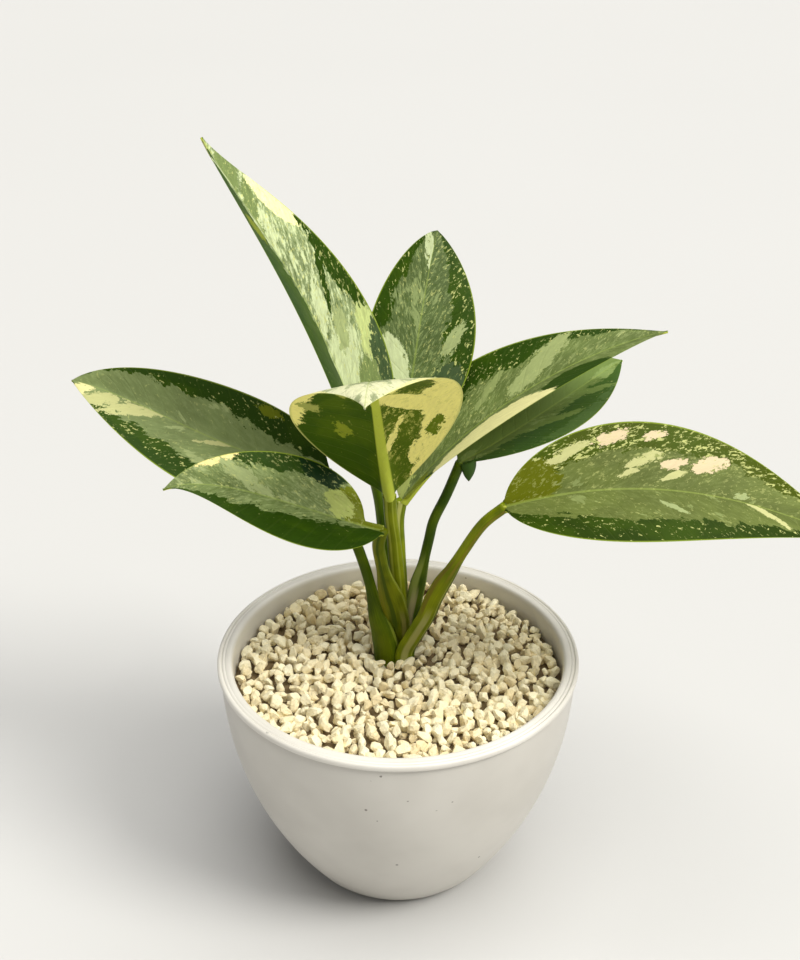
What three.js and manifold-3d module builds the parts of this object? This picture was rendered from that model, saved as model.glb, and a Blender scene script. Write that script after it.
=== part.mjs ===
// Young potted aglaonema: eight variegated leaves on sheathed petioles round a short stem, in a bowl
// pot filled with potting mix and dressed with pale granules.
// Millimetres, +Z up, -Y towards the front. The origin is the centre of the pot's flat base.
import * as THREE from "three";
import { mergeVertices } from "three/addons/utils/BufferGeometryUtils.js";
import Module from "manifold-3d";

const wasm = await Module();
wasm.setup();
const { Manifold, Mesh } = wasm;

// Clearance between any two pieces.
const GAP = 0.3;

// Bowl pot: outside radii, the lip band, the wall and the exponent of the bowl's curve.
const POT_HEIGHT = 95;
const FOOT_RADIUS = 36.3;
const SHOULDER_RADIUS = 68.8;
const LIP_RADIUS = 70;
const LIP_HEIGHT = 2.6;
const WALL = 4.8;
const FLOOR = 6;
const BOWL_CURVE = 2.19;
const INNER_STATIONS = [FLOOR, 14, 26, 42, 64, POT_HEIGHT - 0.8];
const ROUND_SEGMENTS = 60;

// Potting mix up to MIX_TOP, and the dressing's bed above it with the granules sunk into it.
const MIX_TOP = 82;
const BED_TOP = 86.2;
const GRANULE_PITCH = 8.4;
const GRANULE_HALF_SIZE = 3.5;
const GRANULE_FIELD_RADIUS = 60;

// Leaf blades: thickness, and the ridge of the midrib below them.
const BLADE_THICKNESS = 0.8;
const MIDRIB_DEPTH = 1.1;
const BLADE_ROWS = 18;
const BLADE_COLUMNS = 8;
const TIP_HALF_WIDTH = 0.7;
const BASE_HALF_WIDTH = 2.2;

// Petioles and the stem.
const PETIOLE_ROWS = 16;
const PETIOLE_SIDES = 10;
const PETIOLE_FOOT_Z = 76;
const STEM = { x: -1, y: 13, radius: 2.6, foot: 60, top: 93 };

// Each blade: the midrib's four control points, the direction that the upper side faces at the base
// and at the tip, the half widths of the two sides, the exponents of each side's outline towards the
// base and the tip with the share of the midrib that a side leaves bare at its base, and how far each
// side is folded up from the midrib, in degrees, at base and tip.
const BLADES = {
  blade_1: {
    midrib: [[-13, 10, 181], [-28.6, 13, 244], [-57.5, 20, 271], [-68, 33, 288]],
    faces: [[0.9, -0.35, 0.25], [0.85, -0.15, 0.5]],
    width: [27.6, 26.8],
    outline: [[0.28, 1.04], [0.28, 1.04]],
    folds: [[21, 22], [15, 10]],
  },
  blade_2: {
    midrib: [[2, 26, 176], [6, 36, 200.5], [10, 52, 226.5], [15, 66, 243]],
    faces: [[0, -0.88, 0.47], [0.45, -0.8, 0.4]],
    width: [21.8, 21.8],
    outline: [[0.6, 0.8], [0.6, 0.8]],
    folds: [[16, 17], [20, 20]],
  },
  blade_3: {
    midrib: [[-26, 12, 168], [-60, 18, 167], [-96, 26, 193], [-123, 34, 195]],
    faces: [[0, -0.45, 0.88], [0.1, -0.45, 0.88]],
    width: [24.5, 20.5],
    outline: [[0.5, 0.93], [0.5, 0.86]],
    folds: [[5, 28], [6, 30]],
  },
  blade_4: {
    midrib: [[-5.3, -7, 153.2], [-33, -12, 163.8], [-64, -20, 186], [-81, -28, 182]],
    faces: [[0.3, -0.4, 0.85], [0, -0.65, 0.75]],
    width: [18.4, 18.0],
    outline: [[0.85, 1.6], [0.48, 1.15, 0.085]],
    folds: [[12, 16], [14, 18]],
  },
  blade_5: {
    midrib: [[-3, -2, 165], [-8, -17, 205], [-8, -46, 245.4], [-10, -71, 233.5]],
    faces: [[-0.05, 0.85, 0.5], [-0.08, -0.15, 1]],
    width: [29.3, 28.8],
    outline: [[1.0, 1.15], [1.0, 1.2]],
    folds: [[4, 4], [-2, -11]],
  },
  blade_6: {
    midrib: [[1.1, 11.2, 155.8], [22, 14, 186], [62, 24.6, 210.4], [100, 34, 215]],
    faces: [[-0.6, -0.15, 0.7], [-0.1, -0.2, 1]],
    width: [29.5, 18.6],
    outline: [[0.52, 1.18], [0.86, 1.12]],
    folds: [[10, 21], [18, 18]],
  },
  blade_7: {
    midrib: [[23, 20, 167], [45, 28, 176], [66, 42, 186], [87, 53, 195]],
    faces: [[-0.35, -0.2, 0.93], [-0.15, -0.5, 0.85]],
    width: [24, 20],
    outline: [[0.7, 0.95], [1.0, 0.96]],
    folds: [[12, 10], [15, 16]],
  },
  blade_8: {
    midrib: [[38, -15, 168], [86, -17, 184], [120, -24, 178], [158, -32, 164]],
    faces: [[-0.2, -0.55, 0.8], [0.25, -0.2, 0.95]],
    width: [26, 27],
    outline: [[0.62, 1.0], [0.62, 1.1]],
    folds: [[16, 20], [9, 0]],
  },
};

// Each petiole: points of its centre line above the foot, the way its outer side faces in plan, half
// widths at foot and top, half thicknesses at foot and top, and the heights between which its sheath
// narrows. The order is that of the real sheaths from the outside in: each one makes room for those
// before it.
const PETIOLES = {
  petiole_8: {
    line: [
      [3.1, 5.2, 90], [6.1, 4, 98.3], [11.2, 2, 109.6], [14.2, 0, 119.4], [19.4, -3, 132.7],
      [24.1, -6, 143.9], [30.8, -11, 158.4],
    ],
    out: [0.4, -0.92],
    halfWidth: [4.2, 2.1],
    halfThick: [1.6, 2.0],
    sheath: [126, 144],
  },
  petiole_3: {
    line: [
      [-4.9, 6.4, 88], [-6.2, 7.3, 98], [-8.1, 8.5, 105.3], [-10.7, 10.5, 118.5],
      [-14.2, 12, 131], [-20, 12, 148.5],
    ],
    out: [-0.35, -0.94],
    halfWidth: [5.5, 2.1],
    halfThick: [1.6, 2.0],
    sheath: [92, 121],
  },
  petiole_4: {
    line: [
      [-0.2, 9.6, 90], [-0.3, 8.2, 102], [-1.5, 6.6, 110.5], [-3.3, 4.8, 118.7],
      [-4.8, 2.4, 126.5], [-6.4, -1.4, 137.2], [-7.2, -4.4, 146],
    ],
    out: [-0.05, -1],
    halfWidth: [4.9, 2.4],
    halfThick: [1.4, 2.0],
    sheath: [113, 135],
  },
  petiole_7: {
    line: [
      [3.2, 11, 90], [5, 11.6, 101], [7.4, 13, 114], [9.6, 15, 125], [11.9, 16.5, 135.8],
      [13.8, 17.5, 144], [18.6, 18.8, 154.5],
    ],
    out: [0.4, -0.92],
    halfWidth: [3.6, 2.0],
    halfThick: [1.4, 1.9],
    sheath: [116, 130],
  },
  petiole_5: {
    line: [
      [0.9, 11.8, 90], [0.8, 10.4, 106], [0.2, 8.9, 119], [-0.6, 6.7, 130], [-1.5, 3.4, 143],
      [-2.6, 0.2, 155],
    ],
    out: [0.05, -1],
    halfWidth: [2.8, 2.0],
    halfThick: [1.4, 1.9],
    sheath: [125, 152],
  },
  petiole_6: {
    line: [
      [2, 15.8, 88], [1.5, 15.2, 106], [1.1, 13.8, 121], [0.6, 12.4, 135], [0.2, 11.4, 147],
    ],
    out: [0.5, -0.85],
    halfWidth: [3.0, 2.3],
    halfThick: [1.5, 1.9],
    sheath: [110, 135],
  },
  petiole_1: {
    line: [
      [-4.4, 13.8, 88], [-4.7, 14.2, 108], [-5.3, 13.6, 128], [-6.1, 12, 144], [-7.4, 10.8, 157.5],
      [-9.8, 10.2, 169],
    ],
    out: [-1, -0.3],
    halfWidth: [3.4, 2.1],
    halfThick: [1.5, 1.9],
    sheath: [100, 125],
  },
  petiole_2: {
    line: [
      [-1.2, 17.8, 88], [-2.6, 21, 112], [-4.4, 23.5, 136], [-4.4, 25.4, 156], [-1.2, 25.8, 167.5],
    ],
    out: [0, 1],
    halfWidth: [3.4, 1.9],
    halfThick: [1.5, 1.8],
    sheath: [100, 125],
  },
};

const COLOURS = {
  pot: 0xcfc9be,
  potting_mix: 0x4a3a2c,
  top_dressing: 0xe6dcc0,
  stem: 0x8b9440,
  petiole: 0x7c8f32,
  blade: 0x5f8a4a,
};

// A repeatable random source.
function randomSource(seed) {
  let state = seed >>> 0;
  return () => {
    state = (Math.imul(state, 1664525) + 1013904223) >>> 0;
    return state / 4294967296;
  };
}

const vec = (p) => new THREE.Vector3(...p);
const mix = (a, b, t) => a + (b - a) * t;
const radians = (degrees) => (degrees * Math.PI) / 180;

// A closed solid from rings of points of equal length, capped at both ends.
function solidFromRings(rings) {
  const count = rings[0].length;
  const points = rings.flat();
  const triangles = [];
  for (let i = 0; i + 1 < rings.length; i++) {
    for (let j = 0; j < count; j++) {
      const a = i * count + j;
      const b = i * count + ((j + 1) % count);
      triangles.push(a, b, b + count, a, b + count, a + count);
    }
  }
  const last = (rings.length - 1) * count;
  for (let j = 1; j + 1 < count; j++) {
    triangles.push(0, j + 1, j);
    triangles.push(last, last + j, last + j + 1);
  }
  return solidFromMesh(points, triangles);
}

// A manifold solid from points and triangles, turned to face outwards.
function solidFromMesh(points, triangles) {
  const vertProperties = new Float32Array(points.flatMap((p) => [p.x, p.y, p.z]));
  const build = (list) => {
    const mesh = new Mesh({ numProp: 3, vertProperties, triVerts: new Uint32Array(list) });
    return new Manifold(mesh);
  };
  const solid = build(triangles);
  if (solid.volume() > 0) return solid;
  const turned = [];
  for (let i = 0; i < triangles.length; i += 3) {
    turned.push(triangles[i], triangles[i + 2], triangles[i + 1]);
  }
  return build(turned);
}

// A manifold solid from a closed three.js geometry.
function solidFromGeometry(geometry) {
  geometry.deleteAttribute("normal");
  geometry.deleteAttribute("uv");
  const merged = mergeVertices(geometry);
  const position = merged.attributes.position;
  const points = [];
  for (let i = 0; i < position.count; i++) {
    points.push(new THREE.Vector3().fromBufferAttribute(position, i));
  }
  const triangles = [];
  for (let i = 0; i < merged.index.count; i += 3) {
    const corners = [0, 1, 2].map((j) => merged.index.getX(i + j));
    if (new Set(corners).size === 3) triangles.push(...corners);
  }
  return solidFromMesh(points, triangles);
}

// A solid turned round the Z axis from a profile of [radius, height] pairs.
function turnedSolid(profile) {
  const points = profile.map(([r, z]) => new THREE.Vector2(r, z));
  return solidFromGeometry(new THREE.LatheGeometry(points, ROUND_SEGMENTS).rotateX(Math.PI / 2));
}

// The outer radius of the bowl at a height.
function bowlRadius(z) {
  const k = Math.pow(Math.max(0, 1 - z / POT_HEIGHT), BOWL_CURVE);
  return mix(FOOT_RADIUS, SHOULDER_RADIUS, 1 - k);
}

// The pot's inner radius at a height, straight between the stations that its wall is drawn through.
function innerRadius(z) {
  const above = Math.max(1, INNER_STATIONS.findIndex((station) => station >= z));
  const [low, high] = [INNER_STATIONS[above - 1], INNER_STATIONS[above]];
  return mix(bowlRadius(low), bowlRadius(high), (z - low) / (high - low)) - WALL;
}

// Points up the pot's inner wall between two heights, moved in by an inset.
function innerWall(from, to, inset) {
  const between = INNER_STATIONS.filter((z) => z > from && z < to);
  return [from, ...between, to].map((z) => [innerRadius(z) - inset, z]);
}

function makePot() {
  const lipFoot = POT_HEIGHT - LIP_HEIGHT;
  const profile = [[0, 0], [FOOT_RADIUS - 1, 0], [FOOT_RADIUS + 0.4, 0.7]];
  for (let i = 1; i <= 8; i++) {
    const z = (lipFoot - 0.6) * Math.pow(i / 8, 1.25);
    profile.push([bowlRadius(z), z]);
  }
  profile.push(
    [LIP_RADIUS, lipFoot + 0.2],
    [LIP_RADIUS, POT_HEIGHT - 0.8],
    [LIP_RADIUS - 0.9, POT_HEIGHT],
    [SHOULDER_RADIUS - WALL + 0.8, POT_HEIGHT],
  );
  profile.push(...innerWall(FLOOR, POT_HEIGHT - 0.8, 0).reverse());
  profile.push([0, FLOOR]);
  return turnedSolid(profile);
}

// A filling of the pot between two heights, clear of its wall.
function makeFill(from, to) {
  return turnedSolid([[0, from], ...innerWall(from, to, GAP), [0, to]]);
}

// One irregular angular granule: a cube with moved corners, stretched and at a random turn.
function makeGranule(x, y, z, random) {
  const box = new THREE.BoxGeometry(1.6, 1.6, 1.6);
  box.deleteAttribute("normal");
  box.deleteAttribute("uv");
  const stone = mergeVertices(box);
  const position = stone.attributes.position;
  for (let i = 0; i < position.count; i++) {
    const moved = [0, 1, 2].map((j) => position.getComponent(i, j) * mix(0.78, 1.22, random()));
    position.setXYZ(i, ...moved);
  }
  const size = [0, 0, 0].map(() => GRANULE_HALF_SIZE * mix(0.8, 1.12, random()));
  stone.scale(...size).rotateX(random() * 6.3).rotateY(random() * 6.3).rotateZ(random() * 6.3);
  return solidFromGeometry(stone.translate(x, y, z));
}

// The bed of the dressing with its granules fused on in a jittered hexagonal pattern.
function makeDressing() {
  const random = randomSource(4127);
  const pieces = [makeFill(MIX_TOP + GAP, BED_TOP)];
  const rows = Math.ceil(GRANULE_FIELD_RADIUS / (GRANULE_PITCH * 0.866));
  for (let row = -rows; row <= rows; row++) {
    for (let column = -rows; column <= rows; column++) {
      const x = (column + (row & 1 ? 0.5 : 0)) * GRANULE_PITCH + mix(-1.3, 1.3, random());
      const y = row * GRANULE_PITCH * 0.866 + mix(-1.3, 1.3, random());
      const z = BED_TOP + mix(-1.3, 0.1, random());
      const granule = makeGranule(x, y, z, random);
      if (Math.hypot(x, y) < GRANULE_FIELD_RADIUS) pieces.push(granule);
    }
  }
  return Manifold.union(pieces).intersect(makeFill(MIX_TOP + GAP, POT_HEIGHT - 1));
}

// A point and the local axes of a blade's midrib at t, 0 at the base and 1 at the tip.
function midribFrame(blade, t) {
  const curve = new THREE.CubicBezierCurve3(...blade.midrib.map(vec));
  const point = curve.getPoint(t);
  const along = curve.getTangent(t);
  const face = vec(blade.faces[0]).lerp(vec(blade.faces[1]), t);
  const side = along.clone().cross(face).normalize();
  const up = side.clone().cross(along);
  return { point, along, side, up };
}

// The share of a side's full width at t: 1 at the widest place, 0 at both ends.
function outlineShare(blade, t, k) {
  const [a, b, bare = 0] = blade.outline[k];
  const widest = a / (a + b);
  const place = Math.max(0, (t - bare) / (1 - bare));
  return Math.pow(place / widest, a) * Math.pow((1 - place) / (1 - widest), b);
}

// A blade: two folded halves of one thickness with the midrib's ridge below. Both faces are split
// into triangles alike. grow makes the larger body that other pieces keep clear of.
function makeBlade(blade, grow = 0) {
  const rings = [];
  const half = BLADE_THICKNESS / 2 + grow;
  for (let i = 0; i <= BLADE_ROWS; i++) {
    const u = i / BLADE_ROWS;
    const t = 0.5 * (u + (1 - Math.cos(Math.PI * u)) / 2);
    const { point, along, side, up } = midribFrame(blade, t);
    if (i === 0) point.addScaledVector(along, -grow);
    if (i === BLADE_ROWS) point.addScaledVector(along, grow);
    const least = mix(BASE_HALF_WIDTH, TIP_HALF_WIDTH, t) + grow;
    const upper = [];
    const lower = [];
    for (let j = 0; j <= BLADE_COLUMNS; j++) {
      const s = (2 * j) / BLADE_COLUMNS - 1;
      const k = s < 0 ? 0 : 1;
      const width = Math.max(least, blade.width[k] * outlineShare(blade, t, k) + grow);
      const fold = radians(mix(blade.folds[0][k], blade.folds[1][k], t)) * Math.sign(s);
      const reach = Math.abs(s) * width;
      const out = side.clone().multiplyScalar(Math.cos(fold) * Math.sign(s));
      out.addScaledVector(up, Math.sin(Math.abs(fold)) * Math.sign(fold) * Math.sign(s));
      const normal = up.clone().multiplyScalar(Math.cos(fold));
      normal.addScaledVector(side, -Math.sin(fold));
      const middle = point.clone().addScaledVector(out, reach);
      const ridge = s === 0 ? MIDRIB_DEPTH * Math.pow(1 - t, 0.8) : 0;
      upper.push(middle.clone().addScaledVector(normal, half));
      lower.push(middle.clone().addScaledVector(normal, -half - ridge));
    }
    rings.push([...upper, ...lower.reverse()]);
  }
  return bladeFromRings(rings);
}

// Closes a blade's rings. The end rings are strips, so they are closed across their thickness.
function bladeFromRings(rings) {
  const count = rings[0].length;
  const triangles = [];
  for (let i = 0; i + 1 < rings.length; i++) {
    for (let j = 0; j < count; j++) {
      const a = i * count + j;
      const b = i * count + ((j + 1) % count);
      // The lower face runs the other way, so its diagonals are turned to lie under the upper ones.
      if (j < BLADE_COLUMNS) triangles.push(a, b, b + count, a, b + count, a + count);
      else triangles.push(a, b, a + count, b, b + count, a + count);
    }
  }
  for (const [start, turned] of [[0, true], [(rings.length - 1) * count, false]]) {
    for (let j = 0; j < BLADE_COLUMNS; j++) {
      const a = start + j;
      const b = start + j + 1;
      const c = start + count - 1 - j;
      const d = c - 1;
      if (turned) triangles.push(b, a, c, b, c, d);
      else triangles.push(a, b, c, b, d, c);
    }
  }
  return solidFromMesh(rings.flat(), triangles);
}

// A petiole: an oval sweep, wide and thin where its base is a sheath and near round at the top.
// Its last point is just short of its blade's base.
function makePetiole(petiole, blade, grow = 0) {
  const base = vec(blade.midrib[0]);
  const away = vec(blade.midrib[1]).sub(base).normalize();
  const foot = vec(petiole.line[0]);
  foot.z = PETIOLE_FOOT_Z;
  const points = [foot, ...petiole.line.map(vec)];
  points.push(base.addScaledVector(away, -GAP - 0.05));
  const curve = new THREE.CatmullRomCurve3(points, false, "centripetal");
  const rings = [];
  for (let i = 0; i <= PETIOLE_ROWS; i++) {
    const t = i / PETIOLE_ROWS;
    const point = curve.getPointAt(t);
    const along = curve.getTangentAt(t);
    if (i === 0) point.addScaledVector(along, -grow);
    const [low, high] = petiole.sheath;
    const k = Math.min(1, Math.max(0, (point.z - low) / (high - low)));
    const eased = k * k * (3 - 2 * k);
    const halfWidth = mix(petiole.halfWidth[0], petiole.halfWidth[1], eased) + grow;
    const halfThick = mix(petiole.halfThick[0], petiole.halfThick[1], eased) + grow;
    const out = vec([petiole.out[0], petiole.out[1], 0]);
    const wide = along.clone().cross(out).normalize();
    const thin = wide.clone().cross(along).normalize();
    const ring = [];
    for (let j = 0; j < PETIOLE_SIDES; j++) {
      const angle = (2 * Math.PI * j) / PETIOLE_SIDES;
      const p = point.clone().addScaledVector(wide, Math.cos(angle) * halfWidth);
      ring.push(p.addScaledVector(thin, Math.sin(angle) * halfThick));
    }
    rings.push(ring);
  }
  return solidFromRings(rings);
}

function makeStem(grow = 0) {
  const height = STEM.top - STEM.foot + 2 * grow;
  const radius = STEM.radius + grow;
  const post = new THREE.CylinderGeometry(radius * 0.85, radius, height, 16);
  const middle = STEM.foot - grow + height / 2;
  return solidFromGeometry(post.rotateX(Math.PI / 2).translate(STEM.x, STEM.y, middle));
}

// Cuts a solid by others and keeps its largest part.
function cutBy(solid, others) {
  const cut = others.length ? solid.subtract(Manifold.union(others)) : solid;
  const parts = cut.decompose();
  return parts.sort((a, b) => b.volume() - a.volume())[0];
}

function meshOf(name, solid, colour) {
  const data = solid.getMesh();
  const positions = new Float32Array(data.numVert * 3);
  for (let i = 0; i < data.numVert; i++) {
    positions.set(data.vertProperties.subarray(i * data.numProp, i * data.numProp + 3), i * 3);
  }
  const geometry = new THREE.BufferGeometry();
  geometry.setAttribute("position", new THREE.BufferAttribute(positions, 3));
  geometry.setIndex(new THREE.BufferAttribute(new Uint32Array(data.triVerts), 1));
  geometry.computeVertexNormals();
  const mesh = new THREE.Mesh(geometry, new THREE.MeshStandardMaterial({ color: colour }));
  mesh.name = name;
  return mesh;
}

const group = new THREE.Group();
group.name = "potted_aglaonema";

const bladeSolids = {};
for (const [name, blade] of Object.entries(BLADES)) {
  bladeSolids[name] = makeBlade(blade);
  group.add(meshOf(name, bladeSolids[name], COLOURS.blade));
}

// The outer sheaths stay whole and the inner ones make room for them, for the stem and the blades.
const clearOfBlades = Object.values(BLADES).map((blade) => makeBlade(blade, GAP));
const keepClear = [makeStem(GAP)];
for (const [name, petiole] of Object.entries(PETIOLES)) {
  const blade = BLADES[name.replace("petiole", "blade")];
  const solid = cutBy(makePetiole(petiole, blade), [...keepClear, ...clearOfBlades]);
  keepClear.push(makePetiole(petiole, blade, GAP));
  group.add(meshOf(name, solid, COLOURS.petiole));
}

group.add(meshOf("stem", makeStem(), COLOURS.stem));
group.add(meshOf("pot", makePot(), COLOURS.pot));
const mixSolid = cutBy(makeFill(FLOOR + GAP, MIX_TOP), keepClear);
group.add(meshOf("potting_mix", mixSolid, COLOURS.potting_mix));
group.add(meshOf("top_dressing", cutBy(makeDressing(), keepClear), COLOURS.top_dressing));

export default group;
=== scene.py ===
import math
import random

import bmesh
import bpy
from mathutils import Euler, Matrix, Vector, noise


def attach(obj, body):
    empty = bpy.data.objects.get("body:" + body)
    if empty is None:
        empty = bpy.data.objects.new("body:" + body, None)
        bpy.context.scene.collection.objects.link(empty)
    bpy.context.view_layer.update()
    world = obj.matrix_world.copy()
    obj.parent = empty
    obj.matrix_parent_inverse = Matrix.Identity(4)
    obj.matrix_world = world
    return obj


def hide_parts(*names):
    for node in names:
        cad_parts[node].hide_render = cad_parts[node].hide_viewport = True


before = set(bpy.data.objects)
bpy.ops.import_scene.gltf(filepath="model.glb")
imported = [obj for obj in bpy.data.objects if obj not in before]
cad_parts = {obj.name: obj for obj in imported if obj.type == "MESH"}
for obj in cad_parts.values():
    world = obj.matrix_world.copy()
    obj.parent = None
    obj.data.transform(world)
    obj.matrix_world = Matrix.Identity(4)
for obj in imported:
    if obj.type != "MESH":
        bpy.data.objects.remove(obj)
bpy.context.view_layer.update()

# A young aglaonema in a bowl pot. Lengths are in millimetres until a piece is finished in metres.
MM = 0.001

# Bowl pot
POT_HEIGHT = 95.0
FOOT_RADIUS = 36.3
SHOULDER_RADIUS = 68.8
LIP_RADIUS = 70.0
LIP_FOOT = POT_HEIGHT - 2.6
WALL = 4.8
FLOOR = 6.0
BOWL_CURVE = 2.19
BOWL_ROWS = 26
INSIDE_ROWS = 20
POT_TURN_STEPS = 160
# Outlines, as radius and height for the foot, and for the lip as the distance in from its widest
# radius with the rise above its foot, and then with the drop below the rim.
FOOT_OUTLINE = [(0, 1.2), (30, 1.2), (31.2, 0.1), (FOOT_RADIUS - 1.2, 0), (FOOT_RADIUS - 0.2, 0.5)]
LIP_SIDE = [(1.3, -0.35), (0.55, -0.1), (0.15, 0.3), (0, 0.85)]
LIP_CROWN = [(0, 0.9), (0.12, 0.45), (0.45, 0.1), (0.9, 0), (1.35, 0.04), (1.5, 0.38),
             (1.75, 0.38), (1.95, 0.04), (2.7, 0), (2.85, 0.16), (3.05, 0), (4.7, 0.02),
             (5.3, 0.25), (5.75, 0.85)]
# Centres of the few dark specks in the glaze
GLAZE_SPECKS = [(26.8, -63.3, 92.3), (-0.4, -59.0, 40.0), (-11.4, -66.4, 72.7),
                (30.9, -46.5, 32.5), (-18.3, -49.2, 95.0)]

# Granules of the top dressing, on a thin bed whose dark brown is painted shade for the gaps between
# them. Each layer has its lowest and highest centres, the least gap between centres and the number
# of tries.
BED_BASE = 82.8
BED_THICKNESS = 1.6
GRANULE_SEED = 52
GRANULE_SHAPES = 14
GRANULE_CUTS = 11
GRANULE_SIZE = 2.45
GRANULE_REACH = 61.4
GRANULE_LAYERS = [(84.6, 85.6, 4.1, 5000), (86.6, 88.1, 3.6, 14000)]
DARK_GRAIN = (7.0, -43.2, 88.5)

# Leaves
BLADE_ROWS = 112
BLADE_COLUMNS = 22
BLADE_HALF_THICKNESS = 0.32
BASE_HALF_WIDTH = 2.2
TIP_HALF_WIDTH = 0.35
FOLD_ROUNDING = 1.6
HALF_ARCH = 0.9
GROOVE_DEPTH = 0.55
GROOVE_HALF_WIDTH = 1.1
KEEL_AT_TIP = 0.35
KEEL_RISE = 2.3
KEEL_HALF_WIDTHS = (2.3, 0.8)
UPPER_QUILT = 0.08
LOWER_QUILT = 0.1
VEIN_SPACING = 6.0
VEIN_SLANT = 0.62
PETIOLE_ROWS = 72
PETIOLE_SIDES = 28
PETIOLE_FOOT_Z = 76.0
PETIOLE_INTO_BLADE = 0.6
EARED_LEAF = 7
EAR_TOP = Vector((26.2, 19.6, 169.6))
EAR_LENGTH = 8.2
EAR_RADIUS = 3.1
EAR_ROLL = (-1.0, 2.0)
EAR_THICKNESS = 0.45
EAR_UV = (0.3, 0.93)

# Variegation: the turn of its streaks, how far the border of the pale centre strays (RAGGED, in
# millimetres), how far out a patch counts as one on the margin, and how torn the patches are.
STREAK_RUN, STREAK_LEAN = math.cos(math.radians(24)), math.sin(math.radians(24))
STREAK_RAGGED = 21.0
TORN_RAGGED = 12.0
MARGIN_PATCH = 0.82
MOST_TORN = 6.5
TORN_WIDTH = 17
SEED_STEP = 7.3
VEIN_PALENESS = 0.02
NEARLY_ZERO = 0.0001

# How much lighter some surfaces are than the colours given for them. On the lip this is painted
# light.
UNDERSIDE_LIFT = 0.2
PETIOLE_LIFT = 0.15
LIP_PAINTED_LIGHT = 0.2

# Brightness of the room as a light, and as the wall behind the floor. Each softbox has its name,
# the place that it shines from, its spread in degrees, its power and its colour.
ROOM_LIGHT = 0.28
WALL_BRIGHTNESS = 0.86
FLOOR_REACH = 6
SOFTBOXES = [("key_softbox", (1.05, -0.52, 1.25), 24, 2.2, (1.0, 0.985, 0.94)),
             ("top_softbox", (0.12, -0.16, 1.0), 50, 2.4, (1.0, 0.99, 0.96)),
             ("back_softbox", (0.3, 1.0, 1.1), 40, 0.4, (1.0, 1.0, 1.0))]

# The camera, in metres, degrees and millimetres of film
CAMERA_PLACE = (0.00075, -0.482, 0.43)
CAMERA_PITCH = 28.28
CAMERA_LENS = 56.25
SENSOR_WIDTH = 36.0

# Each blade: the midrib's control points, the way its upper side faces at base and tip, the half
# widths of its two sides, each side's outline exponents towards base and tip, and the folds of the
# two sides at base and tip in degrees. bare: the share of the midrib that each side leaves bare at
# its base.
BLADES = {
    1: dict(midrib=[(-13, 10, 181), (-28.6, 13, 244), (-57.5, 20, 271), (-68, 33, 288)],
            faces=[(0.9, -0.35, 0.25), (0.85, -0.15, 0.5)], width=(27.6, 26.8),
            outline=[(0.28, 1.04), (0.28, 1.04)], folds=[(21, 22), (15, 10)]),
    2: dict(midrib=[(2, 26, 176), (6, 36, 200.5), (10, 52, 226.5), (15, 66, 243)],
            faces=[(0, -0.88, 0.47), (0.45, -0.8, 0.4)], width=(21.8, 21.8),
            outline=[(0.6, 0.8), (0.6, 0.8)], folds=[(16, 17), (20, 20)]),
    3: dict(midrib=[(-26, 12, 168), (-60, 18, 167), (-96, 26, 193), (-123, 34, 195)],
            faces=[(0, -0.45, 0.88), (0.1, -0.45, 0.88)], width=(24.5, 20.5),
            outline=[(0.5, 0.93), (0.5, 0.86)], folds=[(5, 28), (6, 30)]),
    4: dict(midrib=[(-5.3, -7, 153.2), (-33, -12, 163.8), (-64, -20, 186), (-81, -28, 182)],
            faces=[(0.3, -0.4, 0.85), (0, -0.65, 0.75)], width=(18.4, 18),
            outline=[(0.85, 1.6), (0.48, 1.15)], folds=[(12, 16), (14, 18)], bare=(0, 0.085)),
    5: dict(midrib=[(-3, -2, 165), (-8, -17, 205), (-8, -46, 245.4), (-10, -71, 233.5)],
            faces=[(-0.05, 0.85, 0.5), (-0.08, -0.15, 1)], width=(29.3, 28.8),
            outline=[(1.0, 1.15), (1.0, 1.2)], folds=[(4, 4), (-2, -11)]),
    6: dict(midrib=[(1.1, 11.2, 155.8), (22, 14, 186), (62, 24.6, 210.4), (100, 34, 215)],
            faces=[(-0.6, -0.15, 0.7), (-0.1, -0.2, 1)], width=(29.5, 18.6),
            outline=[(0.52, 1.18), (0.86, 1.12)], folds=[(10, 21), (18, 18)]),
    7: dict(midrib=[(23, 20, 167), (45, 28, 176), (66, 42, 186), (87, 53, 195)],
            faces=[(-0.35, -0.2, 0.93), (-0.15, -0.5, 0.85)], width=(24, 20),
            outline=[(0.7, 0.95), (1.0, 0.96)], folds=[(12, 10), (15, 16)]),
    8: dict(midrib=[(38, -15, 168), (86, -17, 184), (120, -24, 178), (158, -32, 164)],
            faces=[(-0.2, -0.55, 0.8), (0.25, -0.2, 0.95)], width=(26, 27),
            outline=[(0.62, 1.0), (0.62, 1.1)], folds=[(16, 20), (9, 0)]),
}

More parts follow.
